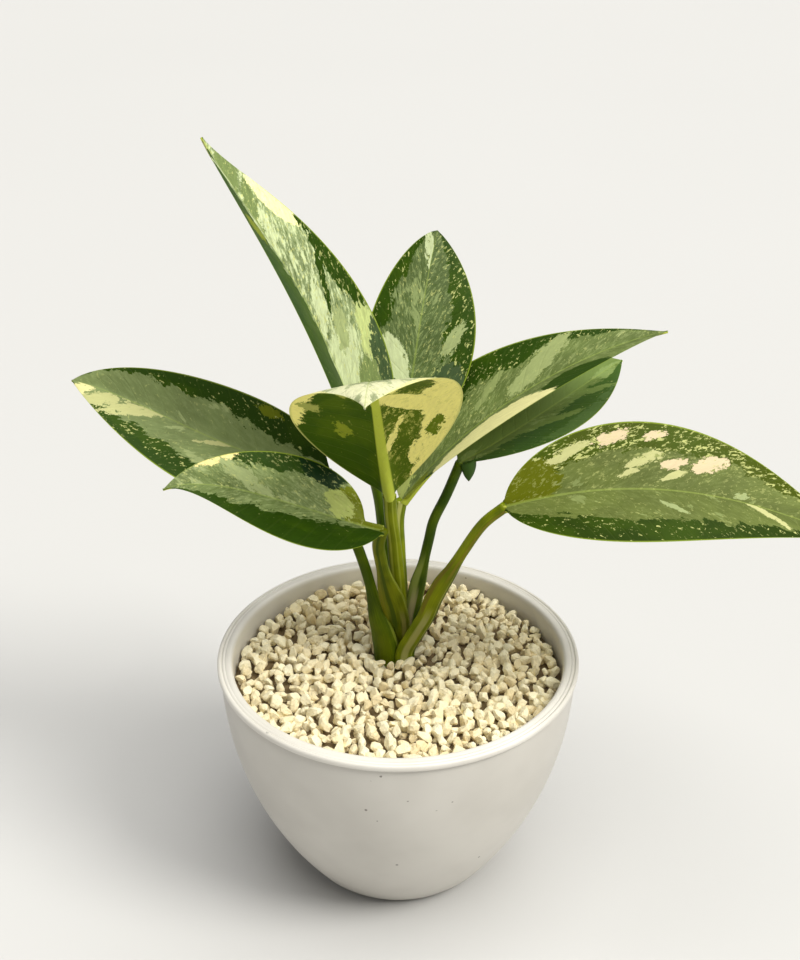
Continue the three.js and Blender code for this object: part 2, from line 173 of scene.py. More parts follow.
# Each petiole: the way its outer side faces in plan, half widths and half thicknesses at foot and
# top, the heights between which its sheath narrows, how far the sheath curls in at its edges, and
# its centre line above the granules.
PETIOLES = {
    1: dict(out=(-1, -0.3), wide=(3.4, 2.1), thick=(1.5, 1.9), sheath=(100, 125), curl=0.2,
        line=[(-4.4, 13.8, 88), (-4.7, 14.2, 108), (-5.3, 13.6, 128), (-6.1, 12, 144),
        (-7.4, 10.8, 157.5), (-9.8, 10.2, 169)]),
    2: dict(out=(0, 1), wide=(3.4, 1.9), thick=(1.5, 1.8), sheath=(100, 125), curl=0.2,
        line=[(-1.2, 17.8, 88), (-2.6, 21, 112), (-4.4, 23.5, 136), (-4.4, 25.4, 156),
        (-1.2, 25.8, 167.5)]),
    3: dict(out=(-0.35, -0.94), wide=(5.5, 2.1), thick=(1.6, 2.0), sheath=(92, 121), curl=0.25,
        line=[(-4.9, 6.4, 88), (-6.2, 7.3, 98), (-8.1, 8.5, 105.3), (-10.7, 10.5, 118.5),
        (-14.2, 12, 131), (-20, 12, 148.5)]),
    4: dict(out=(-0.05, -1), wide=(4.9, 2.4), thick=(1.4, 2.0), sheath=(113, 135), curl=0.2,
        line=[(-0.2, 9.6, 90), (-0.3, 8.2, 102), (-1.5, 6.6, 110.5), (-3.3, 4.8, 118.7),
        (-4.8, 2.4, 126.5), (-6.4, -1.4, 137.2), (-7.2, -4.4, 146)]),
    5: dict(out=(0.05, -1), wide=(2.8, 2.5), thick=(1.4, 1.9), sheath=(125, 152), curl=0.1,
        line=[(0.9, 11.8, 90), (0.8, 10.4, 106), (0.2, 8.9, 119), (-0.6, 6.7, 130),
        (-1.5, 3.4, 143), (-2.6, 0.2, 155)]),
    6: dict(out=(0.5, -0.85), wide=(3.0, 2.3), thick=(1.5, 1.9), sheath=(110, 135), curl=0.1,
        line=[(2, 15.8, 88), (1.5, 15.2, 106), (1.1, 13.8, 121), (0.6, 12.4, 135),
        (0.2, 11.4, 147)]),
    7: dict(out=(0.4, -0.92), wide=(3.6, 2.0), thick=(1.4, 1.9), sheath=(116, 130), curl=0.25,
        line=[(3.2, 11, 90), (5, 11.6, 101), (7.4, 13, 114), (9.6, 15, 125), (11.9, 16.5, 135.8),
        (13.8, 17.5, 144), (18.6, 18.8, 154.5)]),
    8: dict(out=(0.4, -0.92), wide=(4.2, 2.1), thick=(1.6, 2.0), sheath=(126, 144), curl=0.25,
        line=[(3.1, 5.2, 90), (6.1, 4, 98.3), (11.2, 2, 109.6), (14.2, 0, 119.4), (19.4, -3, 132.7),
        (24.1, -6, 143.9), (30.8, -11, 158.4)]),
}

# Colours of the pot and of what is in it, as linear red, green, blue
GLAZE_DARK = (0.565, 0.538, 0.482)
GLAZE_LIGHT = (0.645, 0.618, 0.558)
GLAZE_SPECK = (0.13, 0.11, 0.09)
STONE_TAN = (0.84, 0.7, 0.41)
STONE_CREAM = (0.98, 0.86, 0.56)
STONE_WHITE = (1.0, 0.92, 0.65)
STONE_GAP_SHADE = (0.16, 0.11, 0.05)
STONE_GRAIN = (0.66, 0.53, 0.3)
STONE_SPOT = (0.36, 0.29, 0.17)
STONE_DARK = (0.05, 0.05, 0.045)
MIX_DARK, MIX_LIGHT = (0.02, 0.012, 0.007), (0.1, 0.065, 0.035)
STEM_DARK, STEM_LIGHT = (0.1, 0.12, 0.02), (0.26, 0.28, 0.06)
FLOOR_DARK, FLOOR_LIGHT = (0.54, 0.535, 0.52), (0.56, 0.555, 0.54)

# Colours of leaf tissue
DARK_GREEN = (0.02, 0.05, 0.001)
LEAF_GREEN = (0.055, 0.105, 0.002)
BLUE_GREEN = (0.022, 0.056, 0.006)
SAGE = (0.17, 0.225, 0.074)
PALE_SAGE = (0.315, 0.37, 0.155)
MINT = (0.505, 0.57, 0.31)
PALE_CREAM = (0.5, 0.5, 0.215)
CREAM = (0.74, 0.69, 0.32)
YELLOW = (0.93, 0.9, 0.4)
PINK_CREAM = (0.66, 0.54, 0.33)
YELLOW_GREEN = (0.15, 0.18, 0.006)
MID_GREEN = (0.155, 0.225, 0.052)
TEAL_GREEN = (0.006, 0.024, 0.004)
YELLOW_MINT = (0.42, 0.48, 0.13)
DEEP_GREEN = (0.052, 0.085, 0.032)
PEACH = (0.86, 0.71, 0.29)
OLIVE = (0.1, 0.15, 0.002)
DARK_OLIVE = (0.052, 0.092, 0.0005)
OLIVE_CREAM = (0.76, 0.7, 0.21)

# What the colours of patches become on the underside. The others become dark olive.
UNDERSIDE_COLOURS = {
    CREAM: OLIVE_CREAM, YELLOW: OLIVE_CREAM, PEACH: OLIVE_CREAM, PINK_CREAM: (0.6, 0.5, 0.17),
    MINT: (0.4, 0.42, 0.1), YELLOW_MINT: (0.4, 0.42, 0.1), PALE_SAGE: (0.3, 0.32, 0.07),
    SAGE: (0.16, 0.19, 0.02), OLIVE: OLIVE, YELLOW_GREEN: (0.2, 0.24, 0.015)}

# Markings of each blade. Side -1 is the half that lies left of the midrib, seen from above and
# looking to the tip, and side 1 the other half. Where a value has two parts, they are for the
# sides. dark: the margins, where they aren't dark green. centre: how far the paler centre reaches,
# as shares of the half width, with three values blended as a curve from base to tip. pale: how much
# of it has pale_colour. flecks: how thick the small flecks lie in the margin. mottle: how strong
# the fine threads are. Each patch is side, place along the midrib, place across, half length and
# half width in millimetres, and colour.
MARKINGS = {
    1: dict(dark=(BLUE_GREEN, DARK_GREEN), centre_colour=(0.245, 0.305, 0.135),
            pale_colour=MINT, mottle=1.0,
            centre=[(0.1, -0.1, 0.75), (1.2, 0.66, 1.3)], pale=(0.3, 0.45), flecks=(0.1, 1.0),
            patches=[
        (1, 0.17, 0.22, 13, 6, MINT), (1, 0.31, 0.2, 9, 3, MINT),
        (1, 0.21, 0.78, 11, 4.0, (0.46, 0.53, 0.2)), (1, 0.24, 0.36, 7, 3.2, PALE_SAGE),
        (1, 0.84, 0.4, 18, 5.5, SAGE), (1, 0.68, 0.22, 13, 3.6, SAGE),
        (1, 0.37, 0.98, 16, 9.0, DARK_GREEN), (1, 0.36, 0.5, 10, 1.5, DARK_GREEN),
        (1, 0.12, 1.0, 12, 9.0, DEEP_GREEN), (1, 0.1, 0.5, 7, 5.5, SAGE),
        (1, 0.65, 1.02, 17, 13.5, YELLOW), (1, 0.52, 0.97, 5, 3.0, DARK_GREEN),
        (-1, 0.8, 0.22, 13, 1.3, MINT), (-1, 0.59, 0.55, 7, 4.0, YELLOW_GREEN),
        (-1, 0.95, 0.6, 9, 2.5, YELLOW_MINT)]),
    2: dict(centre_colour=(0.105, 0.15, 0.048),
            pale_colour=(0.23, 0.285, 0.11),
            centre=[(1.1, 0.5, 0.75), (0.85, 0.3, 0.6)], pale=(0.35, 0.15), flecks=(0.5, 0.8),
            mottle=0.6,
            patches=[
        (-1, 0.3, 0.5, 11, 8.5, MINT), (-1, 0.33, 0.62, 4, 2.2, DARK_GREEN),
        (-1, 0.22, 0.42, 3, 2.0, DEEP_GREEN), (-1, 0.88, 0.16, 8, 2.6, MINT),
        (1, 0.46, 0.62, 7, 2.4, PALE_SAGE), (1, 0.25, 0.66, 9, 6, DEEP_GREEN),
        (-1, 0.12, 0.4, 7, 5, PALE_SAGE)]),
    3: dict(centre_colour=(0.205, 0.26, 0.095),
            pale_colour=PALE_SAGE,
            centre=[(0.55, 0.42, 0.75), (0.36, 0.52, 1.05)], pale=(0.25, 0.15), flecks=(0.7, 0.5),
            mottle=0.1,
            patches=[
        (-1, 0.72, 0.24, 13, 2.8, PALE_CREAM), (-1, 0.86, 0.6, 12, 3.2, PALE_CREAM),
        (-1, 0.95, 0.7, 7, 3.0, CREAM), (-1, 0.4, 0.05, 9, 1.2, PALE_CREAM),
        (-1, 0.52, 0.98, 24, 5, DARK_GREEN), (1, 0.27, 0.86, 6, 2.4, YELLOW_GREEN),
        (1, 0.55, 0.98, 24, 5, DARK_GREEN)]),
    4: dict(centre_colour=SAGE, pale_colour=PALE_SAGE,
            centre=[(0.05, 0.38, 0.85), (1.3, 0.42, 1.3)], pale=(0.1, 0.4), flecks=(0.05, 1.0),
            mottle=0.5,
            patches=[
        (1, 0.48, 0.98, 20, 6.5, DARK_GREEN), (1, 0.72, 0.98, 7, 5.0, PEACH),
        (1, 0.1, 0.75, 12, 7.0, YELLOW_GREEN), (1, 0.2, 0.34, 6, 4.2, YELLOW_MINT),
        (1, 0.29, 1.02, 9, 8.0, TEAL_GREEN), (1, 0.6, 0.36, 13, 2.5, PALE_SAGE),
        (-1, 0.36, 0.98, 26, 7, DARK_GREEN)]),
    5: dict(dark=(LEAF_GREEN, LEAF_GREEN), centre_colour=(0.36, 0.4, 0.21),
            pale_colour=(0.66, 0.66, 0.41),
            centre=[(-0.3, -0.7, 2.4), (-0.3, -0.7, 2.4)], pale=(0.6, 0.6), flecks=(1.25, 0.1),
            mottle=0.2,
            patches=[
        (-1, 0.4, 1.04, 36, 15, CREAM), (-1, 0.46, 0.42, 5.5, 13, CREAM),
        (-1, 0.62, 0.45, 9, 9, LEAF_GREEN), (-1, 0.6, 0.3, 7, 1.6, CREAM),
        (-1, 0.3, 0.74, 6, 2.4, OLIVE), (-1, 0.19, 0.7, 6, 4.0, CREAM),
        (-1, 0.26, 0.16, 6, 1.3, CREAM), (-1, 0.34, 0.26, 5, 1.0, CREAM),
        (-1, 0.74, 1.0, 22, 6.0, CREAM), (1, 0.6, 1.04, 24, 8.0, CREAM),
        (1, 0.52, 0.78, 7, 2.4, PALE_SAGE), (1, 0.33, 0.46, 5, 2.6, YELLOW_GREEN)]),
    6: dict(centre_colour=(0.138, 0.185, 0.05),
            pale_colour=(0.29, 0.34, 0.13),
            centre=[(0.4, 0.52, 0.9), (0.9, 0.5, 1.2)], pale=(0.2, 0.1), flecks=(0.7, 0.2),
            mottle=0.35,
            patches=[
        (1, 0.66, 0.98, 15, 22, DARK_GREEN), (1, 0.38, 1.0, 26, 25, CREAM),
        (-1, 0.6, 0.36, 17, 3.8, (0.29, 0.34, 0.13)), (-1, 0.43, 0.36, 9, 1.6, (0.24, 0.29, 0.1)),
        (-1, 0.2, 0.65, 16, 8, DARK_GREEN), (1, 0.05, 0.6, 14, 5.0, YELLOW_GREEN),
        (-1, 0.06, 0.4, 12, 5.0, YELLOW_MINT)]),
    7: dict(dark=(LEAF_GREEN, (0.048, 0.105, 0.019)), centre_colour=MID_GREEN,
            pale_colour=(0.22, 0.3, 0.09),
            centre=[(1.2, 1.0, 1.2), (0.6, 0.1, 0.35)], pale=(0.45, 0.3), flecks=(0.1, 0.2),
            mottle=0.1,
            patches=[
        (-1, 0.5, 0.9, 46, 24, MID_GREEN), (1, 0.5, 0.4, 12, 1.8, MID_GREEN),
        (1, 0.78, 0.45, 9, 1.6, MID_GREEN), (1, 0.6, 0.86, 18, 4, (0.08, 0.145, 0.034))]),
    8: dict(dark=((0.052, 0.074, 0.0006), (0.02, 0.042, 0.0008)),
            centre_colour=(0.128, 0.16, 0.036), pale_colour=(0.205, 0.248, 0.08),
            centre=[(0.55, 0.5, 0.75), (0.62, 0.5, 0.75)], pale=(0.1, 0.2), flecks=(1.1, 0.5),
            mottle=0.15,
            patches=[
        (-1, 0.07, 0.45, 11, 8, (0.105, 0.122, 0.002)), (-1, 0.17, 0.7, 8, 1.8, PALE_CREAM),
        (-1, 0.285, 0.78, 6, 2.4, PINK_CREAM), (-1, 0.4, 0.8, 3.6, 1.6, PINK_CREAM),
        (-1, 0.55, 0.5, 7, 3.0, PINK_CREAM), (-1, 0.455, 0.4, 5, 1.8, PINK_CREAM),
        (-1, 0.38, 0.46, 7, 2.2, PALE_CREAM), (-1, 0.46, 0.24, 5, 1.1, PALE_CREAM),
        (-1, 0.33, 0.24, 4, 1.0, PALE_CREAM), (-1, 0.66, 0.12, 3, 1.4, PALE_SAGE),
        (1, 0.73, 0.14, 12, 1.2, PALE_CREAM), (1, 0.46, 0.34, 7, 1.0, PALE_SAGE)]),
}

# The skin of each petiole: its dark and light greens, and bands along it. Most bands are stripes of
# its own colour; those marked on petioles 1, 5 and 7 are painted light. Each band is a place across
# (from -1 at the left edge to 1 at the right, seen from outside), a half width on the same scale,
# the heights in millimetres that it runs between, its colour and its strength.
PETIOLE_SKINS = {
    1: dict(dark=(0.022, 0.05, 0.0005), light=(0.052, 0.092, 0.001),
            stripes_and_highlights=[
        # This band is painted light: the side of the petiole that faces the key light, drawn
        # lighter.
        (0.5, 0.3, 60, 200, (0.09, 0.14, 0.008), 0.7)]),
    2: dict(dark=(0.03, 0.06, 0.003), light=(0.07, 0.11, 0.006), stripes_and_highlights=[]),
    3: dict(dark=(0.038, 0.068, 0.0003), light=(0.085, 0.125, 0.0006),
            stripes_and_highlights=[
        (0.1, 0.6, 60, 100, (0.095, 0.12, 0.001), 0.6),
        (0.95, 0.05, 60, 116, (0.22, 0.26, 0.03), 0.7)]),
    4: dict(dark=(0.055, 0.078, 0.0004), light=(0.125, 0.145, 0.002),
            stripes_and_highlights=[
        (-0.8, 0.25, 95, 150, (0.16, 0.16, 0.003), 0.7),
        (-0.15, 0.22, 100, 160, (0.034, 0.062, 0.001), 0.85),
        (0.95, 0.05, 60, 134, (0.24, 0.27, 0.03), 0.6),
        (0.55, 0.2, 92, 108, (0.34, 0.3, 0.09), 0.55)]),
    5: dict(dark=(0.11, 0.14, 0.001), light=(0.19, 0.225, 0.004),
            stripes_and_highlights=[
        # The pale bands at -0.55 and 0.35 are painted highlights.
        (-0.55, 0.16, 60, 200, (0.4, 0.42, 0.06), 0.6),
        (-0.93, 0.1, 60, 200, (0.05, 0.08, 0.002), 0.7),
        (0.35, 0.12, 60, 200, (0.34, 0.38, 0.05), 0.5)]),
    6: dict(dark=(0.11, 0.155, 0.001), light=(0.22, 0.27, 0.006),
            stripes_and_highlights=[
        (-0.55, 0.35, 140, 200, (0.55, 0.55, 0.17), 0.85),
        (-0.05, 0.1, 140, 200, (0.12, 0.14, 0.01), 0.7)]),
    7: dict(dark=(0.024, 0.055, 0.0004), light=(0.065, 0.105, 0.001),
            stripes_and_highlights=[
        # This bright band along the right edge is a painted highlight.
        (0.82, 0.14, 60, 200, (0.2, 0.3, 0.02), 0.85),
        (-0.65, 0.4, 60, 128, (0.24, 0.28, 0.06), 0.8),
        (-0.4, 0.35, 60, 114, (0.46, 0.38, 0.22), 0.65)]),
    8: dict(dark=(0.1, 0.135, 0.0005), light=(0.185, 0.22, 0.002),
            stripes_and_highlights=[
        (0.8, 0.2, 142, 200, (0.35, 0.36, 0.06), 0.9),
        (-0.1, 0.22, 130, 180, (0.2, 0.16, 0.02), 0.7),
        (-0.85, 0.14, 112, 140, (0.13, 0.1, 0.01), 0.8),
        (0.75, 0.2, 60, 136, (0.04, 0.085, 0.001), 0.7),
        (0.42, 0.05, 60, 136, (0.34, 0.36, 0.08), 0.7),
        (-0.3, 0.34, 60, 112, (0.36, 0.35, 0.13), 0.7)]),
}



def blend(a, b, share):
    return a + (b - a) * share


def ease(share):
    share = min(1.0, max(0.0, share))
    return share * share * (3 - 2 * share)


# Nodes of one material

class Look:
    """One node material. Each call adds a node and gives back its output socket."""

    def __init__(self, name):
        self.material = bpy.data.materials.new(name)
        self.material.use_nodes = True
        self.tree = self.material.node_tree
        self.tree.nodes.clear()
        self.shader = self.tree.nodes.new("ShaderNodeBsdfPrincipled")
        output = self.tree.nodes.new("ShaderNodeOutputMaterial")
        self.tree.links.new(self.shader.outputs["BSDF"], output.inputs["Surface"])

    def feed(self, socket, value):
        if isinstance(value, bpy.types.NodeSocket):
            self.tree.links.new(value, socket)
        elif isinstance(value, tuple) and len(value) == 3 and socket.type == "RGBA":
            socket.default_value = (*value, 1.0)
        else:
            socket.default_value = value

    def add(self, kind, inputs, **settings):
        """Adds a node, sets it up, feeds its inputs and gives back its outputs."""
        node = self.tree.nodes.new("ShaderNode" + kind)
        for key, value in settings.items():
            setattr(node, key, value)
        for key, value in inputs.items():
            self.feed(node.inputs[key], value)
        return node.outputs

    def calc(self, operation, first, second=0.0, third=0.0):
        return self.add("Math", {0: first, 1: second, 2: third}, operation=operation)[0]

    def times(self, first, second):
        return self.calc("MULTIPLY", first, second)

    def times_plus(self, first, second, third):
        return self.calc("MULTIPLY_ADD", first, second, third)

    def inverse(self, share):
        return self.calc("SUBTRACT", 1.0, share)

    def centred(self, value):
        return self.calc("SUBTRACT", value, 0.5)

    def step(self, value, low, high):
        """0 below low and 1 above high, eased between them."""
        return self.add("MapRange", {"Value": value, "From Min": low, "From Max": high},
                        interpolation_type="SMOOTHSTEP")["Result"]

    def colour(self, share, first, second):
        """The first colour where the share is 0, and the second where it is 1."""
        return self.add("Mix", {0: share, 6: first, 7: second}, data_type="RGBA")[2]

    def brighten(self, colour, amount):
        """Multiplies a colour by one plus the amount."""
        return self.add("VectorMath", {0: colour, "Scale": self.calc("ADD", amount, 1.0)},
                        operation="SCALE")[0]

    def spots(self, vector, places, radius):
        """1 inside a small ball round any of the places, which are in millimetres."""
        mask = 0.0
        for place in places:
            centre = tuple(MM * value for value in place)
            off = self.add("VectorMath", {0: vector, 1: centre}, operation="DISTANCE")["Value"]
            near = self.step(off, 0.6 * radius * MM, radius * MM)
            mask = self.calc("MAXIMUM", mask, self.inverse(near))
        return mask

    def place(self, x, y, z):
        return self.add("CombineXYZ", {0: x, 1: y, 2: z})[0]

    def split(self, vector):
        return self.add("SeparateXYZ", {0: vector})

    def where(self, kind):
        return self.add("TexCoord", {})[kind]

    def mottle(self, vector, scale, detail=2.0, roughness=0.5, distortion=0.0):
        return self.add("TexNoise", {"Vector": vector, "Scale": scale, "Detail": detail,
                                     "Roughness": roughness, "Distortion": distortion})["Fac"]

    def attribute(self, name):
        return self.add("Attribute", {}, attribute_name=name)["Fac"]

    def bump(self, height, distance, strength):
        self.set(Normal=self.add("Bump", {"Height": height, "Distance": distance,
                                          "Strength": strength})["Normal"])

    def set(self, **values):
        for key, value in values.items():
            self.feed(self.shader.inputs[key.replace("_", " ")], value)


# Leaf materials

def leaf_places(look, blade):
    """Where a spot lies on a leaf. along and out are shares of its length and half width, and half
    is 0 or 1 for its sides. The others are in millimetres: x along the midrib, a out from it as if
    the leaf were widest all along, real truly out from it, vein across the side veins, and run and
    cross along and across the streaks."""
    along, across, _ = look.split(look.where("UV"))
    signed = look.times_plus(across, 2.0, -1.0)
    out = look.calc("ABSOLUTE", signed)
    half = look.calc("GREATER_THAN", signed, 0.0)
    x = look.times(along, blade["length"])
    a = look.times(out, max(blade["width"]))
    real = look.times(out, half_width_nodes(look, blade, along, half))
    return dict(blade=blade, along=along, out=out, half=half, x=x, a=a, real=real,
                vein=look.times_plus(a, -VEIN_SLANT, x),
                run=look.times_plus(x, STREAK_RUN, look.times(real, STREAK_LEAN)),
                cross=look.times_plus(x, -STREAK_LEAN, look.times(real, STREAK_RUN)))


def either_side(look, half, pair):
    """The first value on side -1 of the leaf, and the second on side 1."""
    return look.times_plus(look.calc("SUBTRACT", pair[1], pair[0]), half, pair[0])


def half_width_nodes(look, blade, along, half):
    """The half width of a blade in millimetres, from the outline's exponents."""
    sides = []
    for (a, b), bare, width in zip(blade["outline"], blade["bare"], blade["width"]):
        widest = a / (a + b)
        place = look.times_plus(along, 1 / (1 - bare), -bare / (1 - bare))
        rise = look.calc("MAXIMUM", look.times(place, 1 / widest), NEARLY_ZERO)
        fall = look.times_plus(place, -1 / (1 - widest), 1 / (1 - widest))
        fall = look.calc("MAXIMUM", fall, NEARLY_ZERO)
        share = look.times(look.calc("POWER", rise, a), look.calc("POWER", fall, b))
        least = look.times_plus(along, TIP_HALF_WIDTH - BASE_HALF_WIDTH, BASE_HALF_WIDTH)
        sides.append(look.calc("MAXIMUM", look.times(share, width), least))
    return either_side(look, half, sides)


def centre_reach(look, at, marks):
    """How far out the paler centre reaches, in shares of the half width, on each half."""
    sides = []
    along = at["along"]
    rest = look.inverse(along)
    for low, middle, high in marks["centre"]:
        first = look.times(look.times(rest, rest), low)
        second = look.times(look.times(rest, along), 2 * middle)
        third = look.times(look.times(along, along), high)
        sides.append(look.calc("ADD", look.calc("ADD", first, second), third))
    return either_side(look, at["half"], sides)


def patch_mask(look, at, patch, torn):
    """A torn-edged spot. One on the margin runs along the leaf, and others along the streaks."""
    side, along, across, half_length, half_width, _ = patch
    blade = at["blade"]
    x = along * blade["length"]
    if across > MARGIN_PATCH:
        lengthwise, crosswise = at["x"], at["a"]
        a = across * max(blade["width"])
    else:
        lengthwise, crosswise = at["run"], at["cross"]
        k = 1 if side > 0 else 0
        a = across * blade["width"][k] * outline_share(blade, along, k)
        x, a = x * STREAK_RUN + a * STREAK_LEAN, a * STREAK_RUN - x * STREAK_LEAN
    along_it = look.times_plus(lengthwise, 1 / half_length, -x / half_length)
    across_it = look.times_plus(crosswise, 1 / half_width, -a / half_width)
    reach = look.calc("ADD", look.times(along_it, along_it), look.times(across_it, across_it))
    tear = min(MOST_TORN, TORN_WIDTH / half_width)
    reach = look.times_plus(look.centred(torn), tear, reach)
    mask = look.inverse(look.step(reach, 0.90, 1.02))
    half = at["half"] if side > 0 else look.inverse(at["half"])
    return look.times(mask, half)


def side_value(look, at, pair, scale, offset):
    """One number on side -1 of the leaf and another on side 1, each scaled and shifted."""
    low, high = (value * scale + offset for value in pair)
    return look.times_plus(at["half"], high - low, low)


def leaf_markings(look, number, tones):
    """The colour of a leaf's variegation, with tones for the side of the leaf that it is on."""
    marks = MARKINGS[number]
    at = leaf_places(look, BLADES[number])
    seed = number * SEED_STEP
    amount = marks["mottle"]
    wide = look.place(look.times(at["run"], 0.42), at["cross"], seed)
    fine = look.place(look.times(at["run"], 0.55), at["cross"], seed + 5.0)
    streak = look.mottle(wide, 0.17, 6.0, 0.66, 0.25)
    torn = look.mottle(fine, 0.40, 6.0, 0.72, 0.3)
    fleck = look.mottle(fine, 1.05, 3.0, 0.62, 0.5)
    cloud = look.mottle(look.place(at["x"], at["a"], seed + 3.1), 0.06, 2.0)

    # How far inside the centre's torn border a spot lies, with islands on both sides of it.
    reach = look.times(centre_reach(look, at, marks), max(BLADES[number]["width"]))
    edge = look.calc("SUBTRACT", reach, at["a"])
    edge = look.times_plus(look.centred(streak), STREAK_RAGGED, edge)
    edge = look.times_plus(look.centred(torn), TORN_RAGGED, edge)

    # The dark margin and its small pale flecks, which lie in clumps.
    dark = look.colour(at["half"], *tones["dark"])
    lighter = look.times(look.step(cloud, 0.42, 0.62), 0.3)
    dark = look.colour(lighter, dark, tones["green"])
    few = side_value(look, at, marks["flecks"], -0.14, 0.69)
    light_fleck = look.step(look.calc("SUBTRACT", fleck, few), 0.0, 0.02)
    clumps = look.calc("ADD", torn, look.times(edge, 0.006))
    light_fleck = look.times(light_fleck, look.step(clumps, 0.40, 0.50))
    dark = look.colour(look.times(light_fleck, 0.85), dark, tones["fleck"])

    # The centre, with paler streaks.
    light = look.colour(look.step(cloud, 0.35, 0.65), tones["centre"], tones["centre_alt"])
    paler = side_value(look, at, marks["pale"], -0.34, 0.68)
    paler = look.step(look.calc("SUBTRACT", streak, paler), -0.012, 0.03)
    light = look.colour(paler, light, tones["pale"])

    # Its fine threads, paler and darker, that run along the streaks, and its dots.
    long = look.place(look.times(at["run"], 0.26), at["cross"], seed + 9.0)
    thread = look.mottle(long, 0.85, 5.0, 0.78, 0.2)
    paler = look.step(thread, 0.53, 0.57)
    light = look.colour(look.times(paler, 0.08 + 0.75 * amount), light, tones["pale"])
    deeper = look.inverse(look.step(thread, 0.40, 0.45))
    light = look.colour(look.times(deeper, 0.05 + 0.40 * amount), light, tones["green"])
    dots = look.times(look.step(fleck, 0.60, 0.63), look.step(streak, 0.46, 0.52))
    light = look.colour(look.times(dots, 0.15 + 0.5 * amount), light, tones["fleck"])
    islands = look.times_plus(edge, -0.014, torn)
    light = look.colour(look.step(islands, 0.575, 0.59), light, dark)
    colour = look.colour(look.step(edge, -0.15, 0.15), dark, light)

    grainy = look.times_plus(look.centred(fleck), 0.35, torn)
    for patch in marks["patches"]:
        mask = patch_mask(look, at, patch, grainy)
        colour = look.colour(mask, colour, tones["patch"](patch[5]))

    # Small pale flecks and faint threads on the patches too.
    over = look.step(look.calc("SUBTRACT", fleck, few), 0.015, 0.03)
    over = look.times(over, look.step(torn, 0.47, 0.53))
    colour = look.colour(look.times(over, 0.2 + 0.4 * amount), colour, tones["fleck"])
    threads = look.times(look.centred(thread), 1.2 * amount + 0.2)
    colour = look.brighten(colour, threads)

    # Midrib, side veins and the bright margin line.
    rib_width = look.times_plus(at["along"], -tones["rib_width"] * 0.72, tones["rib_width"])
    rib = look.step(at["real"], look.times(rib_width, 0.7), rib_width)
    rib = look.times(look.inverse(rib), tones["rib_share"])
    colour = look.colour(rib, colour, tones["rib"])
    wave = look.calc("SINE", look.times(at["vein"], 2 * math.pi / VEIN_SPACING))
    vein = look.step(wave, 0.86, 1.0)
    colour = look.colour(look.times(vein, VEIN_PALENESS), colour, tones["rib"])
    margin = look.step(at["out"], 0.968, 0.992)
    colour = look.colour(look.times(margin, 0.75), colour, tones["margin"])
    return colour, streak, fleck, vein


def upper_leaf_finish(number):
    marks = MARKINGS[number]
    look = Look("leaf_%d_upper_side" % number)
    deeper = tuple(0.8 * value for value in marks["centre_colour"])
    tones = dict(dark=marks.get("dark", (DARK_GREEN, DARK_GREEN)), green=LEAF_GREEN,
                 centre=marks["centre_colour"], centre_alt=deeper,
                 pale=marks["pale_colour"], fleck=(0.52, 0.54, 0.19),
                 rib=(0.30, 0.38, 0.075), margin=(0.26, 0.34, 0.03), rib_share=0.38,
                 rib_width=0.62, patch=lambda colour: colour)
    colour, streak, fleck, vein = leaf_markings(look, number, tones)
    rough = look.times_plus(streak, 0.24, 0.34)
    look.set(Base_Color=colour, Roughness=rough, Specular_IOR_Level=0.08)
    height = look.times_plus(fleck, 0.35, look.times(vein, -0.3))
    look.bump(height, 0.0004, 0.5)
    return look.material


def lower_leaf_finish(number):
    look = Look("leaf_%d_underside" % number)
    tones = dict(dark=((0.060, 0.104, 0.0005), (0.032, 0.070, 0.0003)), green=OLIVE,
                 centre=(0.16, 0.19, 0.015), centre_alt=(0.12, 0.15, 0.01),
                 pale=(0.30, 0.32, 0.06), fleck=(0.42, 0.42, 0.09), rib=(0.42, 0.48, 0.050),
                 margin=(0.50, 0.50, 0.14), rib_share=0.95, rib_width=2.5,
                 patch=lambda colour: UNDERSIDE_COLOURS.get(colour, DARK_OLIVE))
    colour, streak, fleck, vein = leaf_markings(look, number, tones)
    colour = look.brighten(colour, UNDERSIDE_LIFT)
    rough = look.times_plus(streak, 0.2, 0.40)
    look.set(Base_Color=colour, Roughness=rough, Specular_IOR_Level=0.10)
    look.bump(look.times_plus(vein, 0.6, look.times(fleck, 0.3)), 0.0004, 0.5)
    return look.material


def petiole_finish(number):
    skin = PETIOLE_SKINS[number]
    look = Look("petiole_%d_skin" % number)
    along, around, _ = look.split(look.where("UV"))
    height = look.split(look.where("Object"))[2]
    turn = look.times_plus(around, 2 * math.pi, -math.pi)
    across = look.calc("COSINE", turn)
    outer = look.step(look.calc("SINE", turn), -0.15, 0.15)
    strand = look.mottle(look.place(look.times(around, 70.0), look.times(along, 6.0),
                                        number), 1.0, 3.0)
    cloud = look.mottle(look.where("Object"), 70.0, 2.0)
    colour = look.colour(look.step(cloud, 0.35, 0.65), skin["dark"], skin["light"])
    colour = look.colour(look.times(look.step(strand, 0.45, 0.75), 0.45), colour,
                           tuple(1.5 * value for value in skin["light"]))
    wander = look.times_plus(look.centred(strand), 0.25, across)
    # Bands on the outer side: stripes of the skin, and the painted highlights and painted light
    # marked in PETIOLE_SKINS.
    for place, half, low, high, tint, strength in skin["stripes_and_highlights"]:
        off = look.calc("ABSOLUTE", look.calc("SUBTRACT", wander, place))
        band = look.inverse(look.step(off, 0.55 * half, 1.2 * half))
        rise = look.step(height, (low - 4) * MM, (low + 4) * MM)
        fall = look.inverse(look.step(height, (high - 5) * MM, (high + 5) * MM))
        band = look.times(look.times(band, rise), fall)
        band = look.times(look.times(band, outer), strength)
        colour = look.colour(band, colour, tint)
    colour = look.brighten(colour, PETIOLE_LIFT)
    look.set(Base_Color=colour, Roughness=0.42, Specular_IOR_Level=0.12)
    look.bump(strand, 0.0003, 0.4)
    return look.material


# Materials of the pot and what is in it

